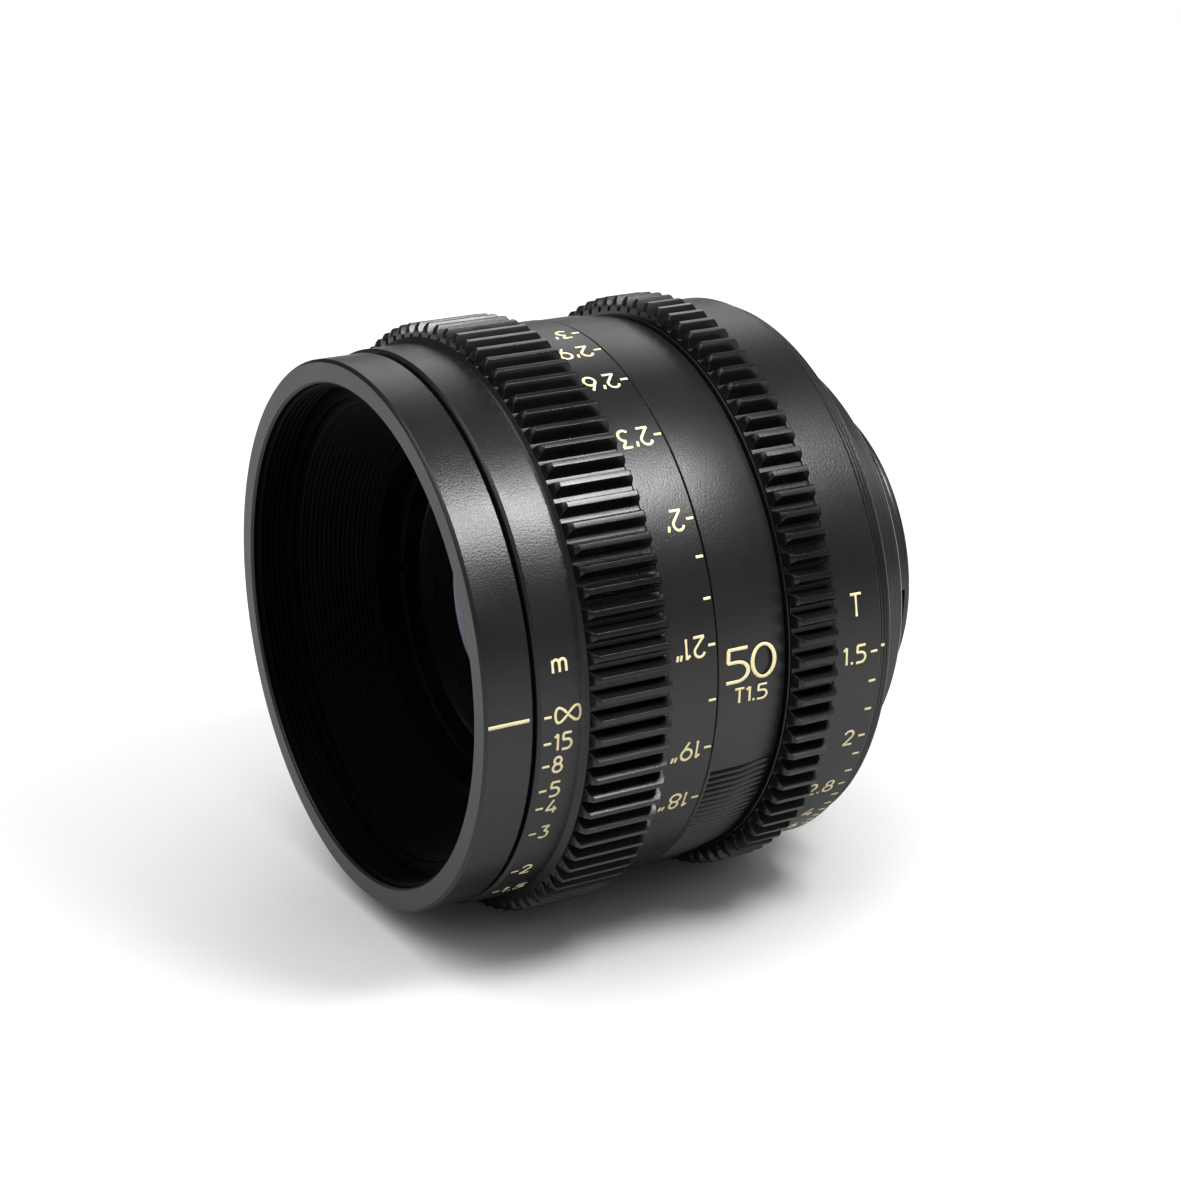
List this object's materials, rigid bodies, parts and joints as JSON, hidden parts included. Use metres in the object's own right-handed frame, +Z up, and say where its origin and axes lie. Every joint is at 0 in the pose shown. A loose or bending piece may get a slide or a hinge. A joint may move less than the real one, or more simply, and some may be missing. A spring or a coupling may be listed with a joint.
{
  "type": "cinema prime lens",
  "caption": "Cinema prime lens with geared focus and iris rings, a cam-driven optical block with coated glass and a leaf iris, a filter thread at the front and a bayonet mount.",
  "frame": {"origin": "centre of the mount's seating plane, on the optical axis", "axes": "+Y along the optical axis towards the camera, +Z up, the scales and indexes face +X"},
  "size_m": [0.0736, 0.0678, 0.0736],
  "materials": {
    "black_anodised": "fine bead-blasted black anodising",
    "matte_black": "matt black anodising against reflections",
    "inner_anodised": "turned and black anodised",
    "mount_metal": "turned, hard black anodised",
    "steel": "dark machine screws",
    "brass": "turned brass",
    "blade_black": "blackened steel leaf",
    "coated_glass": "multi-coated optical glass"
  },
  "bodies": {
    "barrel": {"front_ring": "black_anodised", "front_baffle": "matte_black", "guide_barrel": "inner_anodised", "mid_barrel": "black_anodised", "rear_barrel": "black_anodised", "index_ring": "black_anodised", "mount_flange": "mount_metal", "mount_shim": "brass", "mount_screws": "steel", "front_ring_screws": "steel", "barrel_screws": "steel", "mid_barrel_screws": "steel", "index_ring_screws": "steel"},
    "focus": {"focus_ring": "black_anodised", "cam_sleeve": "brass", "focus_ring_screws": "steel"},
    "optical_block": {"front_cell": "inner_anodised", "front_retaining_ring": "matte_black", "front_spacer": "inner_anodised", "doublet_retaining_ring": "inner_anodised", "rear_cell": "inner_anodised", "rear_spacer": "inner_anodised", "rear_retaining_ring": "matte_black", "lens_1": "coated_glass", "lens_2": "coated_glass", "lens_3": "coated_glass", "lens_4": "coated_glass", "lens_5": "coated_glass", "lens_6": "coated_glass", "lens_7": "coated_glass", "iris_housing": "inner_anodised", "housing_screws": "steel", "rear_cell_screws": "steel", "cam_rollers": "brass", "roller_screws": "steel"},
    "iris": {"iris_ring": "black_anodised", "iris_drive_arm": "steel", "iris_arm_screws": "steel"},
    "rotor": {"iris_rotor": "steel", "rotor_pin": "steel"},
    "blade_1": {"iris_blade_1": "blade_black"},
    "blade_2": {"iris_blade_2": "blade_black"},
    "blade_3": {"iris_blade_3": "blade_black"},
    "blade_4": {"iris_blade_4": "blade_black"},
    "blade_5": {"iris_blade_5": "blade_black"},
    "blade_6": {"iris_blade_6": "blade_black"},
    "blade_7": {"iris_blade_7": "blade_black"},
    "blade_8": {"iris_blade_8": "blade_black"},
    "blade_9": {"iris_blade_9": "blade_black"},
    "blade_10": {"iris_blade_10": "blade_black"}
  },
  "joints": [
    {"name": "focus_turn", "type": "hinge", "parent": "barrel", "child": "focus", "pos_m": [0, 0, 0], "axis": [0, -1, 0], "range_deg": [0, 206]},
    {"name": "block_slide", "type": "slide", "parent": "barrel", "child": "optical_block", "axis": [0, -1, 0], "range_m": [0, 0.00721]},
    {"name": "iris_turn", "type": "hinge", "parent": "barrel", "child": "iris", "pos_m": [0, 0, 0], "axis": [0, -1, 0], "range_deg": [0, 72]},
    {"name": "rotor_turn", "type": "hinge", "parent": "optical_block", "child": "rotor", "pos_m": [0, 0, 0], "axis": [0, -1, 0], "range_deg": [0, 72.1]},
    {"name": "blade_1_swing", "type": "hinge", "parent": "optical_block", "child": "blade_1", "pos_m": [0.019, -0.0169, 0], "axis": [0, -1, 0], "range_deg": [0, 34.1]},
    {"name": "blade_2_swing", "type": "hinge", "parent": "optical_block", "child": "blade_2", "pos_m": [0.01537, -0.0169, 0.01117], "axis": [0, -1, 0], "range_deg": [0, 34.1]},
    {"name": "blade_3_swing", "type": "hinge", "parent": "optical_block", "child": "blade_3", "pos_m": [0.00587, -0.0169, 0.01807], "axis": [0, -1, 0], "range_deg": [0, 34.1]},
    {"name": "blade_4_swing", "type": "hinge", "parent": "optical_block", "child": "blade_4", "pos_m": [-0.00587, -0.0169, 0.01807], "axis": [0, -1, 0], "range_deg": [0, 34.1]},
    {"name": "blade_5_swing", "type": "hinge", "parent": "optical_block", "child": "blade_5", "pos_m": [-0.01537, -0.0169, 0.01117], "axis": [0, -1, 0], "range_deg": [0, 34.1]},
    {"name": "blade_6_swing", "type": "hinge", "parent": "optical_block", "child": "blade_6", "pos_m": [-0.019, -0.0169, 0], "axis": [0, -1, 0], "range_deg": [0, 34.1]},
    {"name": "blade_7_swing", "type": "hinge", "parent": "optical_block", "child": "blade_7", "pos_m": [-0.01537, -0.0169, -0.01117], "axis": [0, -1, 0], "range_deg": [0, 34.1]},
    {"name": "blade_8_swing", "type": "hinge", "parent": "optical_block", "child": "blade_8", "pos_m": [-0.00587, -0.0169, -0.01807], "axis": [0, -1, 0], "range_deg": [0, 34.1]},
    {"name": "blade_9_swing", "type": "hinge", "parent": "optical_block", "child": "blade_9", "pos_m": [0.00587, -0.0169, -0.01807], "axis": [0, -1, 0], "range_deg": [0, 34.1]},
    {"name": "blade_10_swing", "type": "hinge", "parent": "optical_block", "child": "blade_10", "pos_m": [0.01537, -0.0169, -0.01117], "axis": [0, -1, 0], "range_deg": [0, 34.1]}
  ],
  "couplings": [
    {"joint": "block_slide", "follows": "focus_turn", "m_per_rad": 0.0020026},
    {"joint": "rotor_turn", "follows": "iris_turn", "ratio": 1},
    {"joint": "blade_1_swing", "follows": "iris_turn", "ratio": 0.47222},
    {"joint": "blade_2_swing", "follows": "iris_turn", "ratio": 0.47222},
    {"joint": "blade_3_swing", "follows": "iris_turn", "ratio": 0.47222},
    {"joint": "blade_4_swing", "follows": "iris_turn", "ratio": 0.47222},
    {"joint": "blade_5_swing", "follows": "iris_turn", "ratio": 0.47222},
    {"joint": "blade_6_swing", "follows": "iris_turn", "ratio": 0.47222},
    {"joint": "blade_7_swing", "follows": "iris_turn", "ratio": 0.47222},
    {"joint": "blade_8_swing", "follows": "iris_turn", "ratio": 0.47222},
    {"joint": "blade_9_swing", "follows": "iris_turn", "ratio": 0.47222},
    {"joint": "blade_10_swing", "follows": "iris_turn", "ratio": 0.47222}
  ]
}
